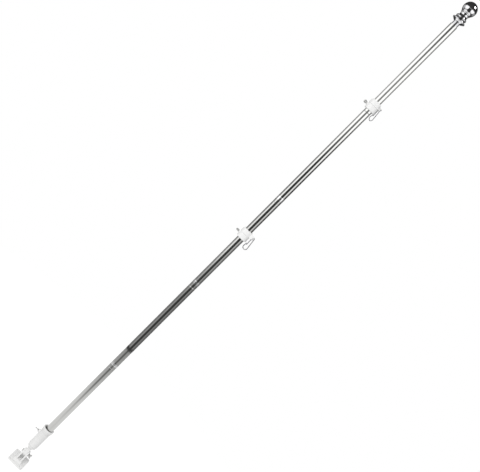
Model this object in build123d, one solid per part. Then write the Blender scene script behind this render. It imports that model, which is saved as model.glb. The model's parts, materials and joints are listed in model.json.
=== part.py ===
from build123d import *
import math
import os

# A house flagpole: five screwed lengths of polished tube with a ball finial, two white flag
# rings with snap hooks, and a tilting socket bracket with a plate that is screwed to a wall.
# Millimetres. Z runs up the pole; the origin is the centre of the plate's back face. The hinge
# bolt lies along X with its wing nut at +X, and the clamping thumbscrews point to -X.

# Pole
TUBE_R = 12.7
TUBE_WALL = 0.7
SECTION_LENGTHS = (380.5, 382.0, 376.5, 389.0, 335.0)  # foot of the pole to its top, joint to joint
COUPLING_RING_L = 13.0
COUPLING_RING_PROUD = 0.2
COUPLING_PLUG_L = 28.0
COUPLING_STUD_L = 20.0
COUPLING_WALL = 3.0
PLUG_GAP = 0.1
GROOVE_BELOW_JOINT = 20.0
GROOVE_DEPTH = 0.35
GROOVE_W = 3.0
GROOVE_FLOOR_W = 1.0
CUT_OVER = 1.0  # how far a cutter runs past the face it opens

# Wall plate and its hinge
PLATE_X = 60.0
PLATE_Y = 76.0
PLATE_T = 5.0
PLATE_CORNER_R = 7.0
PLATE_EDGE_R = 1.2
SCREW_SPACING_X = 44.0
SCREW_SPACING_Y = 60.0
SCREW_HOLE_R = 2.6
SCREW_SINK_R = 5.0
SCREW_SINK_DEPTH = 2.4
PEDESTAL_X = 36.0
PEDESTAL_Y = 46.0
PEDESTAL_H = 6.0
PEDESTAL_DRAFT = 3.0
PIVOT_H = 38.0
EAR_T = 5.3
EAR_R = 12.0
EAR_FOOT_Y = 34.0
EAR_EDGE = 0.8
HINGE_GAP = 0.3
TONGUE_T = 12.0
TONGUE_R = 11.5
BOLT_R = 3.0
BOLT_CORE_R = 2.6  # under the thread
BOLT_TAIL = 2.5
BOLT_END_EDGE = 0.5
PIN_FIT = 0.08
BOLT_HEAD_R = 5.6
BOLT_HEAD_T = 3.2
BOLT_HEAD_DOME = 2.2
WASHER_R = 7.5
WASHER_T = 1.4
NUT_HUB_R = 5.2
NUT_TIP_R = 4.2
NUT_HUB_T = 6.0
NUT_TURN = 35.0
WING_SPAN = 13.5
WING_LEAN = 5.0
WING_TIP_W = 3.6
WING_ROOT = 1.4
WING_T = 2.4
WING_CORNER_R = 0.9

# Socket cup
CUP_BASE_Z = 67.0
CUP_L = 90.0
CUP_SLACK = 2.4  # between the pole and the cup's near wall
CUP_WALL = 1.5
CUP_FOOT_R = 14.8
CUP_FOOT_EDGE = 2.2
CUP_SHOULDER_H = 9.0
CUP_LIP_WALL = 4.5
CUP_LIP_H = 20.0
CUP_LIP_BAND = 6.0
CUP_LIP_EDGE = 0.9
CUP_MOUTH_CHAMFER = 1.5
CUP_SEAT_Z = 100.0
CUP_SEAT_LEDGE = 0.5  # of the tube's wall, kept on the seat
CUP_WELL_FLOOR = 8.0
NECK_Y = 19.0
NECK_STRAIGHT = 17.0
NECK_CORNER = 1.0
NECK_TOP_X = 19.0
NECK_TOP_Y = 22.0
NECK_TOP_CORNER = 5.0
NECK_SUNK = 2.5
CUP_SCREW_Z = 127.0
CUP_BOSS_R = 6.2
CUP_BOSS_REACH = 21.5

# Thumbscrews
SCREW_R = 2.5
THUMB_STANDOFF = 0.6
THUMB_HUB_R = 4.2
THUMB_HUB_TIP_R = 2.9
THUMB_SPADE_T = 2.6
THUMB_SPADE_EDGE = 0.5
THUMB_SPADE_SUNK = 1.2
THUMB_DIMPLE_R = 16.0
THUMB_DIMPLE_DEPTH = 0.5
THUMB_NECK_L = 5.0
THUMB_NECK_W = 6.4
THUMB_NECK_T = 2.2
CUP_HUB_L = 3.8
CUP_SPADE_R = 5.7
RING_HUB_L = 1.8
RING_SPADE_R = 5.2
CUP_THUMB_TURN = -29.0
LOWER_THUMB_TURN = 28.0
UPPER_THUMB_TURN = 85.0

# Flag rings
RING_H = 35.0
RING_BORE_GAP = 0.5
RING_NECK_WALL = 2.1
RING_BAND_WALL = 2.9
RING_LIP_PROUD = 1.1
RING_LIP_H = 2.2
RING_EDGE_R = 1.2
SHOE_H = 18.0
SWIVEL_GAP = 0.3
RING_SCREW_H = 12.0
RING_BOSS_R = 5.5
RING_BOSS_PROUD = 2.0
LUG_REACH = 12.5  # from the band's outside to the hook's bar
LUG_H = 26.5
LUG_R = 3.6
LUG_FOOT = 6.8
LUG_CHEEK_T = 2.4
LUG_SPACE = 4.2
BAR_R = 1.5
RIVET_HEAD_T = 0.8
RIVET_HEAD_PROUD = 0.8
LOWER_RING_Z = 1064.8
UPPER_RING_Z = 1616.9
LOWER_RING_TURN = -20.0
UPPER_RING_TURN = 43.0

# Snap hooks
WIRE_R = 1.4
EYE_GAP = 0.3
HOOK_L = 45.0
BEND_R = 8.0
NOSE_L = 10.0
GATE_PIVOT_OUT = 4.6
GATE_PIVOT_DOWN = 7.0
GATE_PIN_R = 0.8
GATE_TAB_T = 1.6
GATE_CHEEK_T = 0.9
GATE_R = 1.9
GATE_TIP_R = 1.3
GATE_BAR_T = 2.4
GATE_NOSE_GAP = 0.75
GATE_LAP = 2.0
GATE_FORK_L = 5.0
GATE_FORK_GAP = 0.3
GATE_SLOT_R = 2.6
GATE_PIN_SLACK = 0.1
GATE_PIN_HEAD = 0.5

# Finial
FERRULE_STEP = 1.6
FERRULE_H = 11.5
FERRULE_PLUG_L = 22.0
FINIAL_WALL = 1.4
FOOT_LIP = 1.0
FLANGE_R = 22.6
FLANGE_H = 7.8
FLANGE_RIM_H = 5.2
FLANGE_RIM_IN = 2.4
VALLEY_R = 15.0
VALLEY_H = 13.2
BEAD_R = 18.6
BEAD_H = 17.6
NECK_R = 13.8
NECK_FOOT_R = 14.4
NECK_FOOT_H = 22.0
NECK_WAIST_H = 28.0
COVE_R = 16.9
COVE_BAND = 1.4
STEM_H = 36.4
BALL_R = 22.9
BALL_SEAT_DROP = 15.3

# Worked out from the sizes above
CUP_BORE_R = TUBE_R + CUP_SLACK
POLE_X = CUP_SLACK - PLUG_GAP
TUBE_BORE_R = TUBE_R - TUBE_WALL
POLE_TOP_Z = CUP_SEAT_Z + sum(SECTION_LENGTHS)
EAR_IN_X = TONGUE_T / 2 + HINGE_GAP
EAR_OUT_X = EAR_IN_X + EAR_T
NUT_FACE_X = EAR_OUT_X + WASHER_T
NUT_END_X = NUT_FACE_X + NUT_HUB_T
PEDESTAL_TOP_Z = PLATE_T + PEDESTAL_H
CUP_MOUTH_Z = CUP_BASE_Z + CUP_L
CUP_BODY_R = CUP_BORE_R + CUP_WALL
CUP_LIP_R = CUP_BORE_R + CUP_LIP_WALL
CUP_WELL_R = TUBE_BORE_R - POLE_X - CUP_SEAT_LEDGE
RING_BORE_R = TUBE_R + RING_BORE_GAP
RING_NECK_R = RING_BORE_R + RING_NECK_WALL
RING_R = RING_NECK_R + SWIVEL_GAP + RING_BAND_WALL
RING_LIP_R = RING_NECK_R + RING_LIP_PROUD
RING_BOSS_REACH = RING_R + RING_BOSS_PROUD
LUG_RADIUS = RING_R + LUG_REACH
HOOK_EYE_R = BAR_R + EYE_GAP + WIRE_R
FERRULE_R = TUBE_R - FERRULE_STEP
STEM_FOOT_Z = POLE_TOP_Z + FERRULE_H


def joint_heights():
    """Heights of the screwed joints, from the pole's seat in the cup upwards."""
    heights = []
    height = CUP_SEAT_Z
    for length in SECTION_LENGTHS[:-1]:
        height += length
        heights.append(height)
    return heights


def spun(outline):
    """Solid of revolution about Z of a closed curve of (radius, height) points."""
    return revolve(Plane.XZ * make_face(outline), Axis.Z)


def turned(corners):
    """Solid of revolution about Z of straight lines through (radius, height) corners."""
    return spun(Polyline(*corners, close=True))


def along_x(start, end, radius, y=0.0, z=0.0):
    """Round bar parallel to X between two X values."""
    bar = Cylinder(radius, end - start, rotation=(0, 90, 0))
    return Pos((start + end) / 2, y, z) * bar


def across(radius, length, out=0.0, up=0.0):
    """Round bar parallel to Y, centred on the XZ plane."""
    return Pos(out, 0, up) * Cylinder(radius, length, rotation=(90, 0, 0))


def rod(start, end, radius):
    """Round rod between two (X, Z) points of the XZ plane."""
    foot = Vector(start.X, 0, start.Y)
    run = Vector(end.X, 0, end.Y) - foot
    bar = Cylinder(radius, run.length, align=(Align.CENTER, Align.CENTER, Align.MIN))
    return Plane(origin=foot, z_dir=run) * bar


def bar_between(start, end, start_r, end_r, thickness):
    """Flat bar with round ends between two (X, Z) points of the XZ plane."""
    ends = [Pos(start.X, start.Y) * Circle(start_r), Pos(end.X, end.Y) * Circle(end_r)]
    outline = make_hull([edge for end_circle in ends for edge in end_circle.edges()])
    return extrude(Plane.XZ * outline, thickness / 2, both=True)


def thumbscrew(tip, face, hub_l, spade_r, turn):
    """Screw along -X: its tip at -tip, its hub from -face outwards, its dimpled head turned about X."""
    hub_end = face + hub_l
    shank = along_x(-face - CUT_OVER, -tip, SCREW_R)
    hub = Cone(THUMB_HUB_R, THUMB_HUB_TIP_R, hub_l, rotation=(0, -90, 0))
    spade = Cylinder(spade_r, THUMB_SPADE_T)
    spade = chamfer(spade.edges(), THUMB_SPADE_EDGE)
    ball_height = THUMB_SPADE_T / 2 + THUMB_DIMPLE_R - THUMB_DIMPLE_DEPTH
    for side in (-1, 1):
        spade -= Pos(0, 0, side * ball_height) * Sphere(THUMB_DIMPLE_R)
    neck = Box(THUMB_NECK_L, THUMB_NECK_W, THUMB_NECK_T)
    head = Pos(-hub_end - spade_r + THUMB_SPADE_SUNK, 0, 0) * spade + Pos(-hub_end, 0, 0) * neck
    return shank + Pos(-face - hub_l / 2, 0, 0) * hub + Rot(turn, 0, 0) * head


def wall_plate():
    """Cast plate with countersunk screw holes, a drafted pedestal and two hinge ears."""
    plate = Pos(0, 0, PLATE_T / 2) * Box(PLATE_X, PLATE_Y, PLATE_T)
    plate = fillet(plate.edges().filter_by(Axis.Z), PLATE_CORNER_R)
    plate = fillet(plate.faces().sort_by(Axis.Z)[-1].edges(), PLATE_EDGE_R)
    foot = Pos(0, 0, PLATE_T) * RectangleRounded(PEDESTAL_X, PEDESTAL_Y, PLATE_CORNER_R)
    crown = Pos(0, 0, PEDESTAL_TOP_Z) * RectangleRounded(
        PEDESTAL_X - 2 * PEDESTAL_DRAFT, PEDESTAL_Y - 2 * PEDESTAL_DRAFT, PLATE_CORNER_R - PEDESTAL_DRAFT
    )
    casting = plate + loft([foot, crown])
    for side in (-1, 1):
        casting += hinge_ear(side)
    casting -= along_x(-EAR_OUT_X - CUT_OVER, EAR_OUT_X + CUT_OVER, BOLT_R + PIN_FIT, z=PIVOT_H)
    holes = GridLocations(SCREW_SPACING_X, SCREW_SPACING_Y, 2, 2)
    casting -= holes * (Pos(0, 0, PLATE_T / 2) * Cylinder(SCREW_HOLE_R, PLATE_T + 2 * CUT_OVER))
    sink = Cone(SCREW_HOLE_R, SCREW_SINK_R, SCREW_SINK_DEPTH)
    casting -= holes * (Pos(0, 0, PLATE_T - SCREW_SINK_DEPTH / 2) * sink)
    return casting


def hinge_ear(side):
    """Round-topped ear on one side of the tongue, with its outer edge broken; side is -1 or 1."""
    foot_z = PLATE_T + PEDESTAL_H / 2
    flanks = Polyline(
        (-EAR_R, PIVOT_H), (-EAR_FOOT_Y / 2, foot_z), (EAR_FOOT_Y / 2, foot_z), (EAR_R, PIVOT_H)
    )
    crown = ThreePointArc((EAR_R, PIVOT_H), (0, PIVOT_H + EAR_R), (-EAR_R, PIVOT_H))
    ear = extrude(Plane.YZ * make_face(flanks + crown), EAR_T)
    ear = chamfer(ear.faces().sort_by(Axis.X)[-1].edges(), EAR_EDGE)
    ear = Pos(EAR_IN_X, 0, 0) * ear
    return ear if side > 0 else mirror(ear, about=Plane.YZ)


def hinge_bolt():
    """Domed bolt along X through the ears and the tongue, thinner where its thread is."""
    shank = along_x(-EAR_OUT_X - CUT_OVER, NUT_FACE_X, BOLT_R)
    thread_core = along_x(NUT_FACE_X, NUT_END_X + BOLT_TAIL, BOLT_CORE_R)
    thread_core = chamfer(thread_core.faces().sort_by(Axis.X)[-1].edges(), BOLT_END_EDGE)
    head = along_x(-EAR_OUT_X - BOLT_HEAD_T, -EAR_OUT_X, BOLT_HEAD_R)
    head = fillet(head.faces().sort_by(Axis.X)[0].edges(), BOLT_HEAD_DOME)
    return Pos(0, 0, PIVOT_H) * (shank + thread_core + head)


def hinge_washer():
    """Flat washer between the ear and the wing nut."""
    ring = along_x(EAR_OUT_X, NUT_FACE_X, WASHER_R)
    ring -= along_x(EAR_OUT_X - CUT_OVER, NUT_FACE_X + CUT_OVER, BOLT_R + PIN_FIT)
    return Pos(0, 0, PIVOT_H) * ring


def wing_nut():
    """Nut with two wings that lean outwards, bored for the bolt's threaded end."""
    hub = Cone(NUT_HUB_R, NUT_TIP_R, NUT_HUB_T, rotation=(0, 90, 0))
    nut = Pos((NUT_FACE_X + NUT_END_X) / 2, 0, 0) * hub
    tip_x = NUT_END_X + WING_LEAN
    wing_outline = Polyline(
        (NUT_FACE_X + WING_ROOT, 0), (NUT_END_X, 0), (tip_x, WING_SPAN - WING_TIP_W), (tip_x, WING_SPAN),
        (tip_x - WING_TIP_W, WING_SPAN), (NUT_FACE_X + WING_ROOT, NUT_HUB_R), close=True,
    )
    wing = extrude(Plane.XZ * make_face(wing_outline), WING_T / 2, both=True)
    wing = fillet(wing.edges().filter_by(Axis.Y).sort_by(Axis.Z)[-3:], WING_CORNER_R)
    nut += wing + Rot(180, 0, 0) * wing
    nut -= along_x(NUT_FACE_X - CUT_OVER, tip_x, BOLT_CORE_R + PIN_FIT)
    return Pos(0, 0, PIVOT_H) * Rot(NUT_TURN, 0, 0) * nut


def socket_cup():
    """Cup casting: hinge tongue, flared neck, stepped bore with a seat for the pole, and a screw boss."""
    bore = turned([
        (0, CUP_BASE_Z + CUP_WELL_FLOOR), (CUP_WELL_R, CUP_BASE_Z + CUP_WELL_FLOOR),
        (CUP_WELL_R, CUP_SEAT_Z), (CUP_BORE_R, CUP_SEAT_Z), (CUP_BORE_R, CUP_MOUTH_Z - CUP_MOUTH_CHAMFER),
        (CUP_BORE_R + CUP_MOUTH_CHAMFER + CUT_OVER, CUP_MOUTH_Z + CUT_OVER), (0, CUP_MOUTH_Z + CUT_OVER),
    ])
    boss = along_x(-CUP_BOSS_REACH, 0, CUP_BOSS_R, z=CUP_SCREW_Z)
    boss = chamfer(boss.faces().sort_by(Axis.X)[0].edges(), CUP_LIP_EDGE)
    casting = cup_outside() + cup_tongue() + boss - bore
    casting -= along_x(-CUP_BOSS_REACH - CUT_OVER, 0, SCREW_R + PIN_FIT, z=CUP_SCREW_Z)
    casting -= along_x(-TONGUE_T, TONGUE_T, BOLT_R + PIN_FIT, z=PIVOT_H)
    return casting


def cup_outside():
    """Solid outside of the cup: a rounded foot, a plain body and a flared lip with a band."""
    shoulder_z = CUP_BASE_Z + CUP_SHOULDER_H
    edge_mid = CUP_FOOT_EDGE * (1 - math.sqrt(0.5))
    foot = Polyline((0, CUP_BASE_Z), (CUP_FOOT_R - CUP_FOOT_EDGE, CUP_BASE_Z))
    edge = ThreePointArc(
        foot @ 1, (CUP_FOOT_R - edge_mid, CUP_BASE_Z + edge_mid), (CUP_FOOT_R, CUP_BASE_Z + CUP_FOOT_EDGE)
    )
    shoulder = TangentArc(edge @ 1, (CUP_BODY_R, shoulder_z), tangent=(0, 1))
    rest = Polyline(
        shoulder @ 1, (CUP_BODY_R, CUP_MOUTH_Z - CUP_LIP_H), (CUP_LIP_R, CUP_MOUTH_Z - CUP_LIP_BAND),
        (CUP_LIP_R, CUP_MOUTH_Z - CUP_LIP_EDGE), (CUP_LIP_R - CUP_LIP_EDGE, CUP_MOUTH_Z), (0, CUP_MOUTH_Z),
        foot @ 0,
    )
    return spun(foot + edge + shoulder + rest)


def cup_tongue():
    """Hinge tongue between the ears and the neck that widens from it into the cup's foot."""
    neck_z = PIVOT_H + NECK_STRAIGHT
    flanks = Polyline(
        (-TONGUE_R, PIVOT_H), (-NECK_Y / 2, neck_z), (NECK_Y / 2, neck_z), (TONGUE_R, PIVOT_H)
    )
    round_end = ThreePointArc((TONGUE_R, PIVOT_H), (0, PIVOT_H - TONGUE_R), (-TONGUE_R, PIVOT_H))
    tongue = extrude(Plane.YZ * make_face(flanks + round_end), TONGUE_T / 2, both=True)
    neck = loft([
        Pos(0, 0, neck_z) * RectangleRounded(TONGUE_T, NECK_Y, NECK_CORNER),
        Pos(0, 0, CUP_BASE_Z + NECK_SUNK) * RectangleRounded(NECK_TOP_X, NECK_TOP_Y, NECK_TOP_CORNER),
    ])
    return tongue + neck


def cup_thumbscrew():
    """Thumbscrew that pushes the pole against the far wall of the cup."""
    tip = TUBE_R - POLE_X + PLUG_GAP
    face = CUP_BOSS_REACH + THUMB_STANDOFF
    return Pos(0, 0, CUP_SCREW_Z) * thumbscrew(tip, face, CUP_HUB_L, CUP_SPADE_R, CUP_THUMB_TURN)


def groove_steps(radius, height):
    """(radius, height) corners of the rolled groove in a wall of the given radius."""
    return [
        (radius, height - GROOVE_W / 2), (radius - GROOVE_DEPTH, height - GROOVE_FLOOR_W / 2),
        (radius - GROOVE_DEPTH, height + GROOVE_FLOOR_W / 2), (radius, height + GROOVE_W / 2),
    ]


def tube_section(bottom, top, groove_z=None):
    """Thin tube on the pole's axis, with a rolled groove where its coupling is held."""
    walls = []
    for radius in (TUBE_R, TUBE_BORE_R):
        groove = [] if groove_z is None else groove_steps(radius, groove_z)
        walls.append([(radius, bottom), *groove, (radius, top)])
    outside, inside = walls
    return Pos(POLE_X, 0, 0) * turned(outside + inside[::-1])


def pole_sections():
    """The five tubes, each butted against the rings of its couplings."""
    joints = joint_heights()
    half = COUPLING_RING_L / 2
    bottoms = [CUP_SEAT_Z] + [joint + half for joint in joints]
    tops = [joint - half for joint in joints] + [POLE_TOP_Z]
    grooves = [joint - GROOVE_BELOW_JOINT for joint in joints] + [None]
    return [tube_section(*ends) for ends in zip(bottoms, tops, grooves)]


def coupling(joint_z):
    """Screwed coupling: a barrel ring, a plug held in the tube below and a stud for the one above."""
    half = COUPLING_RING_L / 2
    plug_r = TUBE_BORE_R - PLUG_GAP
    bore_r = plug_r - COUPLING_WALL
    ring_r = TUBE_R + COUPLING_RING_PROUD
    outline = [
        (bore_r, joint_z - half - COUPLING_PLUG_L), (plug_r, joint_z - half - COUPLING_PLUG_L),
        *groove_steps(plug_r, joint_z - GROOVE_BELOW_JOINT), (plug_r, joint_z - half),
        (TUBE_R, joint_z - half), (ring_r, joint_z - half / 2), (ring_r, joint_z + half / 2),
        (TUBE_R, joint_z + half), (plug_r, joint_z + half), (plug_r, joint_z + half + COUPLING_STUD_L),
        (bore_r, joint_z + half + COUPLING_STUD_L),
    ]
    return Pos(POLE_X, 0, 0) * turned(outline)


def ring_shoe():
    """Fixed part of a flag ring: a moulded sleeve round the pole with a screw boss and a swivel neck."""
    half_edge = RING_EDGE_R / 2
    lip_z = RING_H - RING_LIP_H
    sleeve = turned([
        (RING_BORE_R, 0), (RING_R - RING_EDGE_R, 0), (RING_R, RING_EDGE_R), (RING_R, SHOE_H - half_edge),
        (RING_R - half_edge, SHOE_H), (RING_NECK_R, SHOE_H), (RING_NECK_R, lip_z), (RING_LIP_R, lip_z),
        (RING_LIP_R, RING_H - half_edge), (RING_LIP_R - half_edge, RING_H), (RING_BORE_R, RING_H),
    ])
    boss = along_x(-RING_BOSS_REACH, -RING_NECK_R, RING_BOSS_R, z=RING_SCREW_H)
    boss = chamfer(boss.faces().sort_by(Axis.X)[0].edges(), half_edge)
    hole = along_x(-RING_BOSS_REACH - CUT_OVER, 0, SCREW_R + PIN_FIT, z=RING_SCREW_H)
    return sleeve + boss - hole


def ring_swivel():
    """Turning part of a flag ring: a band on the neck with two gussets that hold the hook's bar."""
    bottom = SHOE_H + SWIVEL_GAP
    top = RING_H - RING_LIP_H - SWIVEL_GAP
    inner = RING_NECK_R + SWIVEL_GAP
    half_edge = RING_EDGE_R / 2
    band = turned([
        (inner, bottom), (RING_R - half_edge, bottom), (RING_R, bottom + half_edge),
        (RING_R, top - RING_EDGE_R), (RING_R - RING_EDGE_R, top), (inner, top),
    ])
    root = RING_NECK_R + RING_BAND_WALL / 2
    cheek_face = make_face(Polyline(
        (root, LUG_H - LUG_FOOT), (LUG_RADIUS, LUG_H - LUG_R), (LUG_RADIUS, LUG_H + LUG_R), (root, top),
        close=True,
    ))
    cheek_face += Pos(LUG_RADIUS, LUG_H) * Circle(LUG_R)
    cheek = extrude(Plane.XZ * cheek_face, LUG_CHEEK_T / 2, both=True)
    cheek_y = (LUG_SPACE + LUG_CHEEK_T) / 2
    lugs = Pos(0, cheek_y, 0) * cheek + Pos(0, -cheek_y, 0) * cheek
    return band + lugs - across(BAR_R, 4 * cheek_y, LUG_RADIUS, LUG_H)


def hook_bar():
    """Steel bar across the cheeks, headed at both ends."""
    half = LUG_SPACE / 2 + LUG_CHEEK_T
    shank = across(BAR_R, 2 * half, LUG_RADIUS, LUG_H)
    head = across(BAR_R + RIVET_HEAD_PROUD, RIVET_HEAD_T, LUG_RADIUS, LUG_H)
    head_y = half + RIVET_HEAD_T / 2
    return shank + Pos(0, head_y, 0) * head + Pos(0, -head_y, 0) * head


def hook_places():
    """Lean, bend centre, wire normal, nose and gate points of a hook, as (gateward, up) from the bar."""
    bend_drop = HOOK_L - WIRE_R - BEND_R
    lean = math.asin((BEND_R - HOOK_EYE_R) / bend_drop)
    bend = Vector(0, -bend_drop)
    normal = Vector(math.cos(lean), math.sin(lean))
    upward = Vector(-math.sin(lean), math.cos(lean))
    nose = bend + normal * BEND_R + upward * NOSE_L
    pivot = Vector(GATE_PIVOT_OUT, -GATE_PIVOT_DOWN)
    gate_tip = nose - upward * GATE_LAP - normal * (WIRE_R + GATE_NOSE_GAP + GATE_TIP_R)
    return lean, bend, normal, nose, pivot, gate_tip


def snap_hook():
    """Wire body: a closed eye on the bar, a spine, a round bend and a nose; a tab holds the gate."""
    lean, bend, normal, nose, pivot, _ = hook_places()
    lean_deg = math.degrees(lean)
    spine_normal = Vector(-normal.X, normal.Y)
    eye = Torus(HOOK_EYE_R, WIRE_R, rotation=(90, 0, 0))
    spine = rod(spine_normal * HOOK_EYE_R, bend + spine_normal * BEND_R, WIRE_R)
    arc = Torus(BEND_R, WIRE_R, major_angle=180 + 2 * lean_deg, align=None)
    arc = Pos(bend.X, 0, bend.Y) * Rot(90, 0, 0) * Rot(0, 0, 180 - lean_deg) * arc
    nose_wire = rod(bend + normal * BEND_R, nose, WIRE_R) + Pos(nose.X, 0, nose.Y) * Sphere(WIRE_R)
    tab = bar_between(Vector(0, -HOOK_EYE_R), pivot, WIRE_R, GATE_R, GATE_TAB_T)
    body = eye + spine + arc + nose_wire + tab
    body -= across(BAR_R + EYE_GAP, 4 * WIRE_R)
    return body - across(GATE_PIN_R, 4 * WIRE_R, pivot.X, pivot.Y)


def hook_gate():
    """Straight gate: a forked root on the pin and a slimmer bar that closes inside the nose."""
    *_, pivot, gate_tip = hook_places()
    along = (gate_tip - pivot).normalized()
    slot_t = GATE_TAB_T + GATE_FORK_GAP
    fork_end = pivot + along * GATE_FORK_L
    fork = bar_between(pivot, fork_end, GATE_R, GATE_TIP_R, slot_t + 2 * GATE_CHEEK_T)
    bar = bar_between(fork_end, gate_tip, GATE_TIP_R, GATE_TIP_R, GATE_BAR_T)
    slot = bar_between(pivot, pivot + Vector(0, GATE_R), GATE_SLOT_R, GATE_SLOT_R, slot_t)
    return fork + bar - slot - across(GATE_PIN_R + PIN_FIT, 4 * GATE_R, pivot.X, pivot.Y)


def gate_pin():
    """Rivet through the hook's tab and the gate's fork."""
    *_, pivot, _ = hook_places()
    half = (GATE_TAB_T + GATE_FORK_GAP) / 2 + GATE_CHEEK_T + GATE_PIN_SLACK
    shank = across(GATE_PIN_R, 2 * half, pivot.X, pivot.Y)
    head = across(GATE_PIN_R + GATE_PIN_HEAD, GATE_PIN_HEAD, pivot.X, pivot.Y)
    head_y = half + GATE_PIN_HEAD / 2
    return shank + Pos(0, head_y, 0) * head + Pos(0, -head_y, 0) * head


def flag_ring(name, height, ring_turn, thumb_turn):
    """All pieces of one flag ring with its hook, by node name."""
    place = Pos(POLE_X, 0, height)
    swivel_place = place * Rot(0, 0, ring_turn)
    hook_place = swivel_place * Pos(LUG_RADIUS, 0, LUG_H) * Rot(0, 0, 180)  # its gate faces the pole
    screw_face = RING_BOSS_REACH + THUMB_STANDOFF
    screw = thumbscrew(RING_BORE_R, screw_face, RING_HUB_L, RING_SPADE_R, thumb_turn)
    return {
        name + "_ring_shoe": place * ring_shoe(),
        name + "_ring_thumbscrew": place * Pos(0, 0, RING_SCREW_H) * screw,
        name + "_ring_swivel": swivel_place * ring_swivel(),
        name + "_hook_bar": swivel_place * hook_bar(),
        name + "_snap_hook": hook_place * snap_hook(),
        name + "_hook_gate": hook_place * hook_gate(),
        name + "_gate_pin": hook_place * gate_pin(),
    }


def finial_ferrule():
    """Plug in the top of the pole with the narrower sleeve that shows below the finial."""
    plug_end = POLE_TOP_Z - FERRULE_PLUG_L
    plug_r = TUBE_BORE_R - PLUG_GAP
    bore_r = FERRULE_R - COUPLING_WALL
    outline = [
        (bore_r, plug_end), (plug_r, plug_end), (plug_r, POLE_TOP_Z),
        (FERRULE_R, POLE_TOP_Z), (FERRULE_R, STEM_FOOT_Z), (bore_r, STEM_FOOT_Z),
    ]
    return Pos(POLE_X, 0, 0) * turned(outline)


def finial_stem():
    """Spun stem: a round-rimmed flange, a bead, a waisted neck and a cove that carries the ball."""
    top = STEM_H
    rim_in = FLANGE_R - FLANGE_RIM_IN
    bore_r = FERRULE_R - COUPLING_WALL
    neck_in = NECK_R - FINIAL_WALL
    foot = Polyline((bore_r, 0), (FERRULE_R + FOOT_LIP, 0), (rim_in, FLANGE_H - FLANGE_RIM_H / 2))
    rim = ThreePointArc(foot @ 1, (FLANGE_R, FLANGE_H), (rim_in, FLANGE_H + FLANGE_RIM_H / 2))
    valley = Line(rim @ 1, (VALLEY_R, VALLEY_H))
    bead = ThreePointArc(valley @ 1, (BEAD_R, BEAD_H), (NECK_FOOT_R, NECK_FOOT_H))
    neck = ThreePointArc(bead @ 1, (NECK_R, NECK_WAIST_H), (COVE_R, top - COVE_BAND))
    inside = Polyline(
        neck @ 1, (COVE_R, top), (COVE_R - FINIAL_WALL, top), (neck_in, NECK_WAIST_H), (neck_in, VALLEY_H),
        (FLANGE_R - 2 * FINIAL_WALL, FLANGE_H), (FERRULE_R, FINIAL_WALL), (bore_r, FINIAL_WALL), foot @ 0,
    )
    return Pos(POLE_X, 0, STEM_FOOT_Z) * spun(foot + rim + valley + bead + neck + inside)


def finial_ball():
    """Hollow ball, cut flat where it sits on the stem."""
    seat = STEM_FOOT_Z + STEM_H
    shell = Sphere(BALL_R) - Sphere(BALL_R - FINIAL_WALL)
    below = Pos(0, 0, -BALL_SEAT_DROP - BALL_R) * Box(4 * BALL_R, 4 * BALL_R, 2 * BALL_R)
    return Pos(POLE_X, 0, seat + BALL_SEAT_DROP) * (shell - below)


def build():
    """Every node of the flagpole by name."""
    parts = {
        "wall_plate": wall_plate(),
        "hinge_bolt": hinge_bolt(),
        "hinge_washer": hinge_washer(),
        "wing_nut": wing_nut(),
        "socket_cup": socket_cup(),
        "cup_thumbscrew": cup_thumbscrew(),
        "finial_ferrule": finial_ferrule(),
        "finial_stem": finial_stem(),
        "finial_ball": finial_ball(),
    }
    for number, tube in enumerate(pole_sections(), start=1):
        parts[f"pole_section_{number}"] = tube
    for number, joint_z in enumerate(joint_heights(), start=1):
        parts[f"coupling_{number}"] = coupling(joint_z)
    parts.update(flag_ring("lower", LOWER_RING_Z, LOWER_RING_TURN, LOWER_THUMB_TURN))
    parts.update(flag_ring("upper", UPPER_RING_Z, UPPER_RING_TURN, UPPER_THUMB_TURN))
    return parts


os.makedirs("parts", exist_ok=True)
for node, shape in build().items():
    export_step(shape, f"parts/{node}.step")
    print(node, round(shape.volume))
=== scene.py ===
"""Looks for a sectional house flagpole with two flag rings and a tilting wall bracket.

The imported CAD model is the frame: every node keeps its place and gets a finish worked out from its
own object coordinates, in metres. One piece is added, the thread on the end of the hinge bolt. It
is a surface computed with numpy, and so are the floor and the panels of the studio.
"""

from __future__ import annotations

import json
import logging
import math
from dataclasses import dataclass
from enum import Enum
from typing import Any

import bpy
import numpy as np
from mathutils import Matrix, Vector

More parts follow.
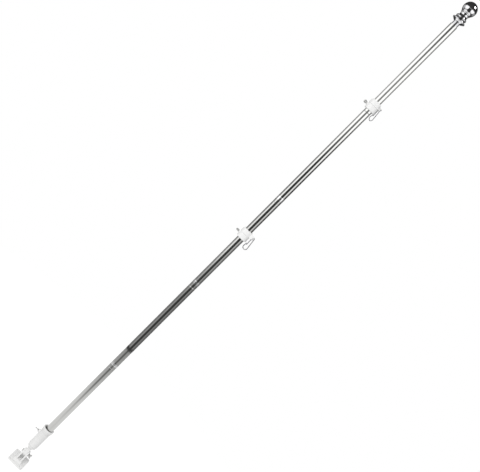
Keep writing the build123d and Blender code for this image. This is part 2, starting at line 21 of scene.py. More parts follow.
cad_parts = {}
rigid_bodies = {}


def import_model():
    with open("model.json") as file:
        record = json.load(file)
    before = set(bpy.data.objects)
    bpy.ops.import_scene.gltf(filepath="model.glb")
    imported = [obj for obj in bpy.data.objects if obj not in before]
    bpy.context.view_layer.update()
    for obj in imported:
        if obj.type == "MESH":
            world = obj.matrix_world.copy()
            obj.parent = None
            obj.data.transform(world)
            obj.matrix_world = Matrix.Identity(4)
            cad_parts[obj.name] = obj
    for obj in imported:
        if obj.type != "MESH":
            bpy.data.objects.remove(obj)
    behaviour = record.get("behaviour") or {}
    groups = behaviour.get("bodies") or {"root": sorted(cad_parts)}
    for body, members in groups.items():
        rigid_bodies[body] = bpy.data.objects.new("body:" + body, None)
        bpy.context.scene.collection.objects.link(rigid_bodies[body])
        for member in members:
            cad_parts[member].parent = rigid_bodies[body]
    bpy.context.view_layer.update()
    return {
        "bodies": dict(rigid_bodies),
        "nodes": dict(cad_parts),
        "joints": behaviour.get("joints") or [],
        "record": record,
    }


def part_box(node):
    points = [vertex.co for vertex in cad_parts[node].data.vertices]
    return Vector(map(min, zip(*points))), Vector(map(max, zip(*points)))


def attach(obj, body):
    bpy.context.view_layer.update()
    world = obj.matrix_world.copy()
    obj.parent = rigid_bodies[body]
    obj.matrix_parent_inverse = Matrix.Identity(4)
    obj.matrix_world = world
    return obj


LOG = logging.getLogger("flagpole")
MM = 0.001

Triple = tuple[float, float, float]
Span = tuple[float, float]
Stops = tuple[Span, ...]
Socket = bpy.types.NodeSocket

WHITE: Triple = (1.0, 1.0, 1.0)
SHARE: Span = (0.0, 1.0)
FADES: Span = (1.0, 0.0)


class Slot(Enum):
    """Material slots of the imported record."""

    WHITE_CASTING = "white_casting"
    POLISHED_TUBE = "polished_tube"
    SATIN_COUPLING = "satin_coupling"
    CHROMED_FINIAL = "chromed_finial"
    WHITE_PLASTIC = "white_plastic"
    ZINC_FASTENER = "zinc_fastener"
    HOOK_STEEL = "hook_steel"


class Side(Enum):
    """The two flag rings, named by their height on the pole."""

    LOWER = "lower"
    UPPER = "upper"


class Ray(Enum):
    """What a shader knows of the ray that reaches it."""

    CAMERA = "Is Camera Ray"
    DIFFUSE = "Is Diffuse Ray"
    MIRRORED = "Is Glossy Ray"
    THROUGH_GLASS = "Is Transmission Ray"
    LENGTH = "Ray Length"


class Graph:
    """A node tree with short calls for adding and joining its nodes."""

    # Numbers of the Mix node's sockets that take and give colours.
    MIX_FIRST, MIX_SECOND, MIX_RESULT = 6, 7, 2

    def __init__(self, tree: bpy.types.NodeTree) -> None:
        """Takes over the node tree of a material, a world or a node group."""
        self.tree = tree

    def add(self, kind: str, **settings: object) -> bpy.types.Node:
        """Adds one node.

        Args:
            kind: the node's type name, such as "ShaderNodeMath".
            **settings: properties of the node, by name.

        Returns:
            The new node.
        """
        node = self.tree.nodes.new(kind)
        for name, value in settings.items():
            setattr(node, name, value)
        return node

    def feed(self, target: Socket, value: Socket | float | Triple) -> None:
        """Joins a socket to the target, or sets the target's own value.

        Args:
            target: the input socket.
            value: an output socket, a number, or a colour or other triple.
        """
        if isinstance(value, Socket):
            self.tree.links.new(value, target)
        elif isinstance(value, tuple) and target.type == "RGBA":
            target.default_value = (*value, 1.0)
        else:
            target.default_value = value

    def maths(
        self, operation: str, first: Socket | float, second: Socket | float = 0.0
    ) -> Socket:
        """Works out one operation on two numbers.

        Args:
            operation: the Math node's operation.
            first: the first number.
            second: the second number, where the operation has one.

        Returns:
            The result's socket.
        """
        node = self.add("ShaderNodeMath", operation=operation)
        self.feed(node.inputs[0], first)
        self.feed(node.inputs[1], second)
        return node.outputs[0]

    def remap(self, value: Socket, source: Span, target: Span = SHARE) -> Socket:
        """Maps a range of numbers smoothly onto another, held at its ends.

        Args:
            value: the number to map.
            source: the range it comes from.
            target: the range it goes to.

        Returns:
            The mapped number's socket.
        """
        node = self.add("ShaderNodeMapRange", interpolation_type="SMOOTHSTEP")
        for socket, number in zip(node.inputs, (value, *source, *target)):
            self.feed(socket, number)
        return node.outputs["Result"]

    def stretch(self, vector: Socket, scale: Socket | Triple) -> Socket:
        """Multiplies a vector by another, axis by axis.

        Args:
            vector: the vector to stretch.
            scale: the factors along X, Y and Z.

        Returns:
            The stretched vector's socket.
        """
        node = self.add("ShaderNodeVectorMath", operation="MULTIPLY")
        self.feed(node.inputs[0], vector)
        self.feed(node.inputs[1], scale)
        return node.outputs["Vector"]

    def length(self, vector: Socket) -> Socket:
        """Gives the length of a vector.

        Args:
            vector: the vector to measure.

        Returns:
            The length's socket.
        """
        node = self.add("ShaderNodeVectorMath", operation="LENGTH")
        self.feed(node.inputs[0], vector)
        return node.outputs["Value"]

    def parts(self, vector: Socket) -> tuple[Socket, Socket, Socket]:
        """Takes a vector apart.

        Args:
            vector: the vector to take apart.

        Returns:
            The sockets of its X, Y and Z.
        """
        node = self.add("ShaderNodeSeparateXYZ")
        self.feed(node.inputs[0], vector)
        return tuple(node.outputs)

    def place(self) -> Socket:
        """Gives the object coordinates of the point that is shaded, in metres."""
        return self.add("ShaderNodeTexCoord").outputs["Object"]

    def ray(self, fact: Ray) -> Socket:
        """Gives one fact about the ray that reaches the point."""
        return self.add("ShaderNodeLightPath").outputs[fact.value]

    def noise(self, vector: Socket, scale: Socket | float, detail: float = 2.0) -> Socket:
        """Adds fractal noise from 0 to 1.

        Args:
            vector: where the noise is read.
            scale: its grains to each unit of the vector.
            detail: how many finer layers it has.

        Returns:
            The noise value's socket.
        """
        node = self.add("ShaderNodeTexNoise")
        self.feed(node.inputs["Vector"], vector)
        self.feed(node.inputs["Scale"], scale)
        self.feed(node.inputs["Detail"], detail)
        return node.outputs["Fac"]

    def profile(self, value: Socket, stops: Stops) -> Socket:
        """Looks a number up in a table with straight lines between its rows.

        Args:
            value: the number to look up.
            stops: (value, result) rows in rising order of value.

        Returns:
            The result's socket.
        """
        low, high = stops[0][0], stops[-1][0]
        top = max(result for _, result in stops)
        node = self.add("ShaderNodeValToRGB")
        ramp = node.color_ramp
        while len(ramp.elements) < len(stops):
            ramp.elements.new(position=0.5)
        for element, (at, result) in zip(ramp.elements, stops):
            element.position = (at - low) / (high - low)
            element.color = (*(result / top,) * 3, 1.0)
        along = self.add("ShaderNodeMapRange")
        for socket, number in zip(along.inputs, (value, low, high, 0.0, 1.0)):
            self.feed(socket, number)
        self.feed(node.inputs["Fac"], along.outputs["Result"])
        return self.maths("MULTIPLY", node.outputs["Color"], top)

    def blend(self, factor: Socket, first: Triple, second: Triple) -> Socket:
        """Mixes two colours.

        Args:
            factor: 0 for the first colour and 1 for the second.
            first: the first colour.
            second: the second colour.

        Returns:
            The mixed colour's socket.
        """
        node = self.add("ShaderNodeMix", data_type="RGBA")
        self.feed(node.inputs["Factor"], factor)
        self.feed(node.inputs[self.MIX_FIRST], first)
        self.feed(node.inputs[self.MIX_SECOND], second)
        return node.outputs[self.MIX_RESULT]

    def show(self, shader: bpy.types.Node, kind: str = "ShaderNodeOutputMaterial") -> None:
        """Joins the last shader to the output, which has a kind of its own in a world."""
        self.feed(self.add(kind).inputs["Surface"], shader.outputs[0])


def blank_material(name: str) -> tuple[bpy.types.Material, Graph]:
    """Makes a material whose tree is empty.

    Args:
        name: the material's name.

    Returns:
        The material and its tree.
    """
    made = bpy.data.materials.new(name)
    made.use_nodes = True
    made.node_tree.nodes.clear()
    return made, Graph(made.node_tree)


class Effect:
    """A shader node group that several finishes lay with their own values."""

    name = "effect"
    inputs: tuple[tuple[str, str], ...] = (("Vector", "NodeSocketVector"),)
    outputs: tuple[tuple[str, str], ...] = (("Mask", "NodeSocketFloat"),)

    def group(self) -> bpy.types.NodeTree:
        """Gives the effect's node group, built the first time it is asked for.

        Returns:
            The group's tree.
        """
        found = bpy.data.node_groups.get(self.name)
        if found:
            return found
        tree = bpy.data.node_groups.new(self.name, "ShaderNodeTree")
        for label, kind in self.inputs:
            tree.interface.new_socket(label, in_out="INPUT", socket_type=kind)
        for label, kind in self.outputs:
            tree.interface.new_socket(label, in_out="OUTPUT", socket_type=kind)
        graph = Graph(tree)
        entry = graph.add("NodeGroupInput")
        leave = graph.add("NodeGroupOutput")
        self.wire(graph, entry, leave)
        return tree

    def wire(self, graph: Graph, entry: bpy.types.Node, leave: bpy.types.Node) -> None:
        """Fills the group between its input and output nodes; each effect has its own."""
        raise NotImplementedError

    def lay(self, graph: Graph, **values: Socket | float | Triple) -> bpy.types.Node:
        """Lays the effect on a material.

        Args:
            graph: the material's tree.
            **values: the group's inputs by name.

        Returns:
            The group node.
        """
        node = graph.add("ShaderNodeGroup", node_tree=self.group())
        for name, value in values.items():
            graph.feed(node.inputs[name], value)
        return node


class PolishLines(Effect):
    """Fine parallel lines left by polishing, drawing or turning: noise drawn out along one axis."""

    name = "polish_lines"
    inputs = (
        ("Vector", "NodeSocketVector"),
        ("Stretch", "NodeSocketVector"),
        ("Contrast", "NodeSocketFloat"),
    )
    coarse_detail = 1.0
    coarse_share = 0.45
    fine_share = 0.55
    fine_scale = 3.7
    middle = 0.5

    def wire(self, graph: Graph, entry: bpy.types.Node, leave: bpy.types.Node) -> None:
        """Adds two layers of noise, read at the stretched place, and draws them off the middle.

        Args:
            graph: the group's tree.
            entry: the group's input node.
            leave: the group's output node.
        """
        drawn = graph.stretch(entry.outputs["Vector"], entry.outputs["Stretch"])
        coarse = graph.noise(drawn, 1.0, self.coarse_detail)
        fine = graph.noise(drawn, self.fine_scale)
        coarse_part = graph.maths("MULTIPLY", coarse, self.coarse_share)
        both = graph.maths("ADD", coarse_part, graph.maths("MULTIPLY", fine, self.fine_share))
        centred = graph.maths("SUBTRACT", both, self.middle)
        strong = graph.maths("MULTIPLY", centred, entry.outputs["Contrast"])
        limited = graph.maths("ADD", strong, self.middle)
        limited.node.use_clamp = True
        graph.feed(leave.inputs["Mask"], limited)


class HandlingMarks(Effect):
    """Soft patches, such as finger marks and wiped areas: low noise cut to islands."""

    name = "handling_marks"
    inputs = (("Vector", "NodeSocketVector"), ("Patches", "NodeSocketFloat"))
    island_edge: Span = (0.48, 0.68)
    fine_grains = 900.0
    fine_edge: Span = (0.3, 0.7)
    fine_depth: Span = (0.55, 1.0)

    def wire(self, graph: Graph, entry: bpy.types.Node, leave: bpy.types.Node) -> None:
        """Cuts broad noise into islands and breaks them up with finer noise.

        Args:
            graph: the group's tree.
            entry: the group's input node.
            leave: the group's output node.
        """
        broad = graph.noise(entry.outputs["Vector"], entry.outputs["Patches"])
        fine = graph.noise(entry.outputs["Vector"], self.fine_grains)
        islands = graph.remap(broad, self.island_edge)
        specks = graph.remap(fine, self.fine_edge, self.fine_depth)
        graph.feed(leave.inputs["Mask"], graph.maths("MULTIPLY", islands, specks))


class Stipple(Effect):
    """Orange peel of a sprayed coat or the spark texture of a mould, as a height."""

    name = "stipple"
    inputs = (("Vector", "NodeSocketVector"), ("Grains", "NodeSocketFloat"))
    outputs = (("Height", "NodeSocketFloat"),)
    detail = 1.5
    cell_edge: Span = (0.32, 0.68)

    def wire(self, graph: Graph, entry: bpy.types.Node, leave: bpy.types.Node) -> None:
        """Softens noise into rounded cells, between the group's input and output nodes."""
        cells = graph.noise(entry.outputs["Vector"], entry.outputs["Grains"], self.detail)
        graph.feed(leave.inputs["Height"], graph.remap(cells, self.cell_edge))


@dataclass(frozen=True)
class Finish:
    """A surface finish that becomes one material.

    Colours are linear. The finish's own mask moves between its colour and its shade, and between
    its low and its high roughness.
    """

    slot: Slot
    colour: Triple
    shade: Triple
    roughness: Span
    bump_mm: float

    def material(self) -> bpy.types.Material:
        """Makes the material, or gives the one made before.

        Returns:
            The material.
        """
        name = f"{self.slot.value}_finish"
        found = bpy.data.materials.get(name)
        if found:
            return found
        made, graph = blank_material(name)
        shader = graph.add("ShaderNodeBsdfPrincipled")
        self.dress(graph, shader, graph.place())
        graph.show(shader)
        return made

    def dress(self, graph: Graph, shader: bpy.types.Node, place: Socket) -> None:
        """Feeds the shader from the place in metres; each kind of finish has its own."""
        raise NotImplementedError

    def raise_surface(self, graph: Graph, shader: bpy.types.Node, height: Socket) -> None:
        """Adds the bump.

        Args:
            graph: the material's tree.
            shader: its Principled BSDF.
            height: the height from 0 to 1.
        """
        bump = graph.add("ShaderNodeBump")
        bump.inputs["Strength"].default_value = 1.0
        bump.inputs["Distance"].default_value = self.bump_mm * MM
        graph.feed(bump.inputs["Height"], height)
        graph.feed(shader.inputs["Normal"], bump.outputs["Normal"])


@dataclass(frozen=True)
class LinedMetal(Finish):
    """Bare or plated metal with fine lines along one axis and faint handling marks."""

    stretch: Triple = (1.0, 1.0, 1.0)
    contrast: float = 1.0
    patches: float = 25.0
    mark_roughness: float = 0.05
    metallic: float = 1.0

    def dress(self, graph: Graph, shader: bpy.types.Node, place: Socket) -> None:
        """Lines tint the metal and roughen it; marks dull it a little more.

        Args:
            graph: the material's tree.
            shader: its Principled BSDF.
            place: object coordinates in metres.
        """
        lines = PolishLines().lay(
            graph, Vector=place, Stretch=self.stretch, Contrast=self.contrast
        )
        marks = HandlingMarks().lay(graph, Vector=place, Patches=self.patches)
        tint = graph.blend(lines.outputs["Mask"], self.shade, self.colour)
        low, high = self.roughness
        span = graph.maths("MULTIPLY", lines.outputs["Mask"], high - low)
        dull = graph.maths("MULTIPLY", marks.outputs["Mask"], self.mark_roughness)
        rough = graph.maths("ADD", graph.maths("ADD", span, low), dull)
        graph.feed(shader.inputs["Base Color"], tint)
        graph.feed(shader.inputs["Metallic"], self.metallic)
        graph.feed(shader.inputs["Roughness"], rough)
        self.raise_surface(graph, shader, lines.outputs["Mask"])


@dataclass(frozen=True)
class CoatedSurface(Finish):
    """Powder coat or moulded plastic: a stippled skin with faint patches of tone."""

    grains: float = 900.0
    patches: float = 40.0

    def dress(self, graph: Graph, shader: bpy.types.Node, place: Socket) -> None:
        """Patches shift tone and gloss; the stipple raises the skin.

        Args:
            graph: the material's tree.
            shader: its Principled BSDF.
            place: object coordinates in metres.
        """
        marks = HandlingMarks().lay(graph, Vector=place, Patches=self.patches)
        skin = Stipple().lay(graph, Vector=place, Grains=self.grains)
        tint = graph.blend(marks.outputs["Mask"], self.colour, self.shade)
        low, high = self.roughness
        span = graph.maths("MULTIPLY", marks.outputs["Mask"], high - low)
        graph.feed(shader.inputs["Base Color"], tint)
        graph.feed(shader.inputs["Roughness"], graph.maths("ADD", span, low))
        self.raise_surface(graph, shader, skin.outputs["Height"])


FINISHES: tuple[Finish, ...] = (
    CoatedSurface(
        Slot.WHITE_CASTING, (0.79, 0.79, 0.785), (0.75, 0.75, 0.745), (0.36, 0.48), 0.01,
        grains=700.0,
    ),
    LinedMetal(
        Slot.POLISHED_TUBE, (0.71, 0.71, 0.695), (0.57, 0.57, 0.555), (0.02, 0.05), 0.001,
        stretch=(380.0, 380.0, 6.0), contrast=1.8, patches=18.0,
    ),
    LinedMetal(
        Slot.SATIN_COUPLING, (0.98, 0.98, 0.98), (0.94, 0.94, 0.94), (0.18, 0.25), 0.002,
        stretch=(30.0, 30.0, 3500.0), contrast=1.8, patches=60.0,
    ),
    LinedMetal(
        Slot.CHROMED_FINIAL, (0.62, 0.62, 0.63), (0.56, 0.56, 0.57), (0.03, 0.07), 0.0005,
        stretch=(90.0, 90.0, 1800.0), contrast=0.8, patches=50.0,
    ),
    CoatedSurface(
        Slot.WHITE_PLASTIC, (0.95, 0.95, 0.945), (0.93, 0.93, 0.925), (0.30, 0.40), 0.008,
        grains=1300.0, patches=90.0,
    ),
    LinedMetal(
        Slot.ZINC_FASTENER, (0.66, 0.66, 0.65), (0.56, 0.56, 0.55), (0.30, 0.42), 0.002,
        stretch=(420.0, 420.0, 420.0), contrast=2.0, patches=160.0, mark_roughness=0.10,
        metallic=0.5,
    ),
    LinedMetal(
        Slot.HOOK_STEEL, (0.60, 0.60, 0.61), (0.50, 0.50, 0.51), (0.16, 0.26), 0.002,
        stretch=(1600.0, 1600.0, 60.0), contrast=1.5, patches=120.0,
    ),
)


def finish_of(slot: Slot) -> Finish:
    """Gives the finish of a material slot."""
    return next(finish for finish in FINISHES if finish.slot is slot)


def dress_node(node: bpy.types.Object, slot: Slot) -> None:
    """Gives a CAD node the finish of its slot."""
    node.data.materials.clear()
    node.data.materials.append(finish_of(slot).material())


@dataclass
class SubAssembly:
    """CAD nodes that are dressed together, by the slot each one takes."""

    frame: dict[str, Any]

    def nodes(self) -> dict[str, Slot]:
        """Names the sub-assembly's nodes with their slots; each one has its own."""
        raise NotImplementedError

    def build(self) -> None:
        """Dresses the nodes and reports them."""
        for name, slot in self.nodes().items():
            dress_node(self.frame["nodes"][name], slot)
            LOG.info("%s: %s takes %s", type(self).__name__, name, slot.value)


def closed_rod(name: str, places: np.ndarray) -> bpy.types.Object:
    """Makes a closed surface from rings of points, joined round and capped by a fan at each end.

    Args:
        name: the object's name.
        places: an array of rings by points by 3, rising along the axis and turning about it.

    Returns:
        The linked object, at the origin.
    """
    rings, around = places.shape[:2]
    index = np.arange(rings * around).reshape(rings, around)
    after = np.roll(index, -1, axis=1)
    corners = (index[:-1], after[:-1], after[1:], index[1:])
    quads = np.stack([corner.ravel() for corner in corners], axis=1)
    first, last = rings * around, rings * around + 1
    foot = np.stack((np.full(around, first), after[0], index[0]), axis=1)
    head = np.stack((np.full(around, last), index[-1], after[-1]), axis=1)
    centres = places[[0, -1]].mean(axis=1)
    points = np.concatenate((places.reshape(-1, 3), centres))
    return linked_mesh(name, points, quads.tolist() + foot.tolist() + head.tolist())


def grid_object(name: str, places: np.ndarray) -> bpy.types.Object:
    """Makes an open sheet of quads from a grid of points.

    Args:
        name: the object's name.
        places: an array of rows by columns by 3.

    Returns:
        The linked object, at the origin.
    """
    rows, columns = places.shape[:2]
    index = np.arange(rows * columns).reshape(rows, columns)
    corners = (index[:-1, :-1], index[:-1, 1:], index[1:, 1:], index[1:, :-1])
    quads = np.stack([corner.ravel() for corner in corners], axis=1)
    return linked_mesh(name, places.reshape(-1, 3), quads.tolist())


def linked_mesh(name: str, points: np.ndarray, faces: list[list[int]]) -> bpy.types.Object:
    """Makes a smooth-shaded mesh object and links it.

    Args:
        name: the object's name.
        points: an array of points by 3.
        faces: the point numbers of each face.

    Returns:
        The object, at the origin.
    """
    mesh = bpy.data.meshes.new(name)
    mesh.from_pydata(points.tolist(), [], faces)
    mesh.polygons.foreach_set("use_smooth", np.ones(len(faces), dtype=bool))
    return linked(name, mesh)


def linked(name: str, data: bpy.types.ID) -> bpy.types.Object:
    """Makes an object and links it to the scene.

    Args:
        name: the object's name.
        data: its mesh, lamp or camera.

    Returns:
        The object, at the origin.
    """
    made = bpy.data.objects.new(name, data)
    bpy.context.scene.collection.objects.link(made)
    return made


def triangles(piece: bpy.types.Object) -> int:
    """Counts the triangles that a piece's faces come to."""
    return sum(len(face.vertices) - 2 for face in piece.data.polygons)


@dataclass(frozen=True)
class ScrewThread:
    """Rolled screw thread round the plain end of a screw that lies along +X."""

    name: str
    root: float = 2.62 * MM
    crest: float = 2.98 * MM
    pitch: float = 0.8 * MM
    rows_a_pitch: int = 12
    columns: int = 60

    def build(self, start: Vector, length: float, body: str, slot: Slot) -> bpy.types.Object:
        """Makes the thread as a closed rod of two parameters, length x and turn a.

        A point is (x, radius times the cosine of a, radius times the sine of a). The wave is 1
        where x / pitch - a / 360 is a whole number and falls in a straight line to 0 midway, so the
        crest is one helix. The radius is the root plus the thread's depth times the wave. Near each
        end it is no more than the root plus the distance from that end, which bevels the thread.

        Args:
            start: the middle of the end that the nut covers.
            length: the length that shows.
            body: the body that the thread rides.
            slot: the material slot of the screw.

        Returns:
            The thread.
        """
        rows = 1 + round(self.rows_a_pitch * length / self.pitch)
        along = np.linspace(0.0, length, rows)[:, None]
        turn = np.linspace(0.0, 1.0, self.columns, endpoint=False)[None, :]
        phase = (along / self.pitch - turn) % 1.0
        wave = np.abs(2.0 * phase - 1.0)
        from_end = np.minimum(along, length - along)
        radius = self.root + np.minimum((self.crest - self.root) * wave, from_end)
        along, angle = np.broadcast_arrays(along, 2.0 * np.pi * turn)
        places = np.stack((along, radius * np.cos(angle), radius * np.sin(angle)), axis=-1)
        thread = closed_rod(self.name, places + np.array(start))
        thread.data.materials.append(finish_of(slot).material())
        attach(thread, body)
        LOG.info("%s: %d triangles on %s", self.name, triangles(thread), body)
        return thread


@dataclass
class WallBracket(SubAssembly):
    """Wall plate, hinge bolt with its washer and wing nut, and the thread that shows past the nut.

    The tail is the length of bolt past the nut. The thread stops short of its end by the end gap.
    """

    tail: float = 2.5 * MM
    end_gap: float = 0.1 * MM

    def nodes(self) -> dict[str, Slot]:
        """Names the bracket's nodes with their slots."""
        hardware = {name: Slot.ZINC_FASTENER for name in ("hinge_bolt", "hinge_washer", "wing_nut")}
        return {"wall_plate": Slot.WHITE_CASTING, **hardware}

    def build(self) -> None:
        """Dresses the nodes and adds the bolt's thread."""
        super().build()
        low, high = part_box("hinge_bolt")
        start = Vector((high.x - self.tail, (low.y + high.y) / 2, (low.z + high.z) / 2))
        length = self.tail - self.end_gap
        ScrewThread("hinge_bolt_thread").build(start, length, "bracket", Slot.ZINC_FASTENER)


@dataclass
class SocketCup(SubAssembly):
    """Tilting cup that holds the pole's foot, with its thumbscrew."""

    def nodes(self) -> dict[str, Slot]:
        """Names the cup's nodes with their slots."""
        return {"socket_cup": Slot.WHITE_CASTING, "cup_thumbscrew": Slot.ZINC_FASTENER}


@dataclass
class Pole(SubAssembly):
    """Screwed tubes and the couplings between them."""

    sections: int = 5

    def nodes(self) -> dict[str, Slot]:
        """Names the pole's nodes with their slots.

        Returns:
            The slot of each tube and coupling.
        """
        tubes = {f"pole_section_{n}": Slot.POLISHED_TUBE for n in range(1, self.sections + 1)}
        couplings = {f"coupling_{n}": Slot.SATIN_COUPLING for n in range(1, self.sections)}
        return {**tubes, **couplings}


@dataclass
class FlagRing(SubAssembly):
    """Clamped shoe, turning band and snap hook for one corner of the flag."""

    side: Side = Side.LOWER

    def nodes(self) -> dict[str, Slot]:
        """Names the ring's nodes with their slots.

        Returns:
            The slot of each piece of this side's ring.
        """
        kinds = {
            "ring_shoe": Slot.WHITE_PLASTIC,
            "ring_swivel": Slot.WHITE_PLASTIC,
            "ring_thumbscrew": Slot.ZINC_FASTENER,
            "hook_bar": Slot.HOOK_STEEL,
            "snap_hook": Slot.HOOK_STEEL,
            "hook_gate": Slot.HOOK_STEEL,
            "gate_pin": Slot.HOOK_STEEL,
        }
        return {f"{self.side.value}_{name}": slot for name, slot in kinds.items()}


@dataclass
class Finial(SubAssembly):
    """Ball on its turned stem at the pole's top."""

    def nodes(self) -> dict[str, Slot]:
        """Names the finial's nodes with their slots."""
        names = ("finial_ferrule", "finial_stem", "finial_ball")
        return {name: Slot.CHROMED_FINIAL for name in names}


# What metal mirrors, with lengths in metres and slopes as sines.
NEAR_REACH: Span = (1.66, 1.85)  # lengths over which a mirrored ray loses what it meets
# A panel or the floor's rim that a steep mirrored ray meets glows white, a painted reflection of a
# white floor.
STEEP_ASIDE: Span = (0.57, 0.69)  # slopes over which a ray to a panel turns white
STEEP_AHEAD: Span = (0.76, 0.84)  # the same for a ray to the floor or past it
RISING_ABOVE: Span = (1.0, 1.15)  # heights over which a steep ray is taken to rise
WHITE_BELOW = 1.5
ROOM_LEVEL = 0.05

# Rows of (distance from the axis, level) for the floor's painted pool of light that metal mirrors,
# and of (rise of the ray, level) in front.
PAINTED_POOL_FRONT: Stops = (
    (0.0, 0.92), (0.4, 0.85), (0.5, 0.74), (0.6, 0.58), (0.75, 0.35), (0.88, 0.20), (1.2, 0.10),
    (1.45, 0.07),
)
PAINTED_POOL_SIDES: Stops = (
    (0.0, 0.92), (0.45, 0.92), (0.62, 0.88), (0.75, 0.78), (0.88, 0.66), (1.1, 0.50), (1.45, 0.36),
)
FRONT_LEVELS: Stops = (
    (-1.0, 0.03), (-0.05, 0.035), (0.0, 0.06), (0.025, 0.14), (0.05, 0.23), (0.10, 0.34),
    (0.14, 0.38), (0.165, 0.34), (0.192, 0.26), (0.222, 0.16), (0.26, 0.07), (1.0, 0.05),
)


@dataclass(frozen=True)
class Softbox:
    """A tall glowing panel that stands beside the object and faces it, unseen by the camera.

    It is bent round the object's axis at its reach. Its table has rows of (height, inner azimuth,
    outer azimuth, level) in metres and degrees, where azimuth 0 is the front and grows to the
    right. The edge is the angle over which its level falls off.
    """

    name: str
    rows: tuple[tuple[float, float, float, float], ...]
    reach: float = 1.5
    edge: float = 4.0
    rings: int = 81
    columns: int = 61

    def build(self) -> bpy.types.Object:
        """Makes the panel as a sheet of two parameters, height h and share u of its width.

        The azimuth a is inner(h) + u (outer(h) - inner(h)) and the level is level(h), all read from
        the table with straight lines between its rows. A point is (reach times the sine of a, less
        reach times the cosine of a, h). The level falls to nothing at the two upright edges, in
        proportion to the distance from the edge.

        Returns:
            The panel.
        """
        heights, inner, outer, level = np.array(self.rows).T
        height = np.linspace(heights[0], heights[-1], self.rings)[:, None]
        share = np.linspace(0.0, 1.0, self.columns)[None, :]
        start, end = (np.interp(height, heights, column) for column in (inner, outer))
        azimuth = start + share * (end - start)
        from_edge = np.minimum(np.abs(azimuth - start), np.abs(end - azimuth)) / self.edge
        glow = np.interp(height, heights, level) * np.clip(from_edge, 0.0, 1.0)
        angle, height = np.broadcast_arrays(np.radians(azimuth), height)
        right, back = self.reach * np.sin(angle), -self.reach * np.cos(angle)
        panel = grid_object(self.name, np.stack((right, back, height), axis=-1))
        hide_from_pale(panel, glow)
        return panel


def hide_from_pale(panel: bpy.types.Object, glow: np.ndarray) -> None:
    """Lights a panel that only mirror-like surfaces show. It throws no shadow.

    Args:
        panel: the panel.
        glow: the level at each of its points.
    """
    levels = panel.data.attributes.new("level", "FLOAT", "POINT")
    levels.data.foreach_set("value", glow.ravel().astype(np.float32))
    panel.data.materials.append(softbox_glow())
    panel.visible_camera = False
    panel.visible_diffuse = False
    panel.visible_shadow = False


def softbox_glow() -> bpy.types.Material:
    """Makes the panels' light: each point's own level on near rays, and white on steep ones, a
    painted reflection of a white floor.

    Returns:
        The material, which all panels share.
    """
    found = bpy.data.materials.get("softbox_glow")
    if found:
        return found
    made, graph = blank_material("softbox_glow")
    made.cycles.emission_sampling = "NONE"
    level = graph.add("ShaderNodeAttribute", attribute_name="level").outputs["Fac"]
    light = graph.add("ShaderNodeEmission")
    seen = graph.maths("MULTIPLY", level, near_rays(graph))
    # Painted reflection of a white floor on steep mirrored rays.
    white = graph.maths("MULTIPLY", steep_rays(graph, STEEP_ASIDE), WHITE_BELOW)
    graph.feed(light.inputs["Strength"], graph.maths("MAXIMUM", seen, white))
    graph.show(light)
    return made


def near_rays(graph: Graph) -> Socket:
    """Gives 0 on long mirrored rays and 1 on others, so high metal doesn't mirror what is low."""
    near = graph.remap(graph.ray(Ray.LENGTH), NEAR_REACH, FADES)
    return graph.maths("MAXIMUM", near, graph.maths("SUBTRACT", 1.0, graph.ray(Ray.MIRRORED)))


def steep_rays(graph: Graph, span: Span) -> Socket:
    """Gives 1 on mirrored rays that fall steeply, where a painted reflection of a white floor goes,
    so undersides show one at any height.

    The object stands on the axis, so a ray's run on the level is the lit point's own distance r
    from the axis. With the ray's length L, the sine of its slope is the root of 1 - (r / L)^2. Only
    points below RISING_ABOVE count, since a ray that steep can't have risen to them.

    Args:
        graph: the material's tree.
        span: the sines of the slopes at which the white starts and is full.

    Returns:
        The share's socket.
    """
    place = graph.place()
    run = graph.length(graph.stretch(place, (1.0, 1.0, 0.0)))
    share = graph.maths("POWER", graph.maths("DIVIDE", run, graph.ray(Ray.LENGTH)), 2.0)
    sine = graph.maths("SQRT", graph.maths("SUBTRACT", 1.0, share))
    low = graph.remap(graph.parts(place)[2], RISING_ABOVE, FADES)
    falling = graph.maths("MULTIPLY", graph.remap(sine, span), low)
    return graph.maths("MULTIPLY", falling, graph.ray(Ray.MIRRORED))


def background_rays(graph: Graph) -> Socket:
    """Gives 1 on rays that show the background: seen directly, in metal or through glass."""
    mirrored = graph.maths("MAXIMUM", graph.ray(Ray.MIRRORED), graph.ray(Ray.THROUGH_GLASS))
    return graph.maths("MAXIMUM", graph.ray(Ray.CAMERA), mirrored)


